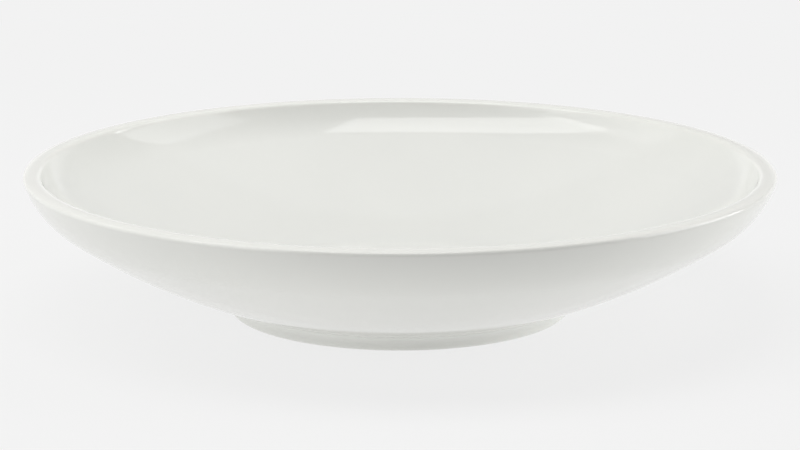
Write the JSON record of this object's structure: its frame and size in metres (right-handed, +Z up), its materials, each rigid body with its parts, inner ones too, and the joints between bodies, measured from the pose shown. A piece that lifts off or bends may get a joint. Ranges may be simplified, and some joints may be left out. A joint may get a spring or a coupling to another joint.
{
  "type": "deep plate",
  "caption": "Round deep plate of white glazed porcelain: rounded lip, flaring wall, flat-floored well and a low ring foot with a bare standing edge.",
  "frame": {"origin": "centre of the foot on the surface that the plate stands on", "axes": "+Z up along the axis that the plate is turned about; X and Y are equal, because it is round"},
  "size_m": [0.24, 0.24, 0.047],
  "materials": {
    "bare_porcelain": "fired and unglazed, fine matt grain",
    "white_glaze": "clear gloss glaze over white porcelain",
    "recess_glaze": "clear gloss glaze over white porcelain"
  },
  "bodies": {
    "root": {"porcelain_body": "bare_porcelain", "glaze_coat": "white_glaze", "foot_recess_glaze": "recess_glaze"}
  },
  "joints": []
}
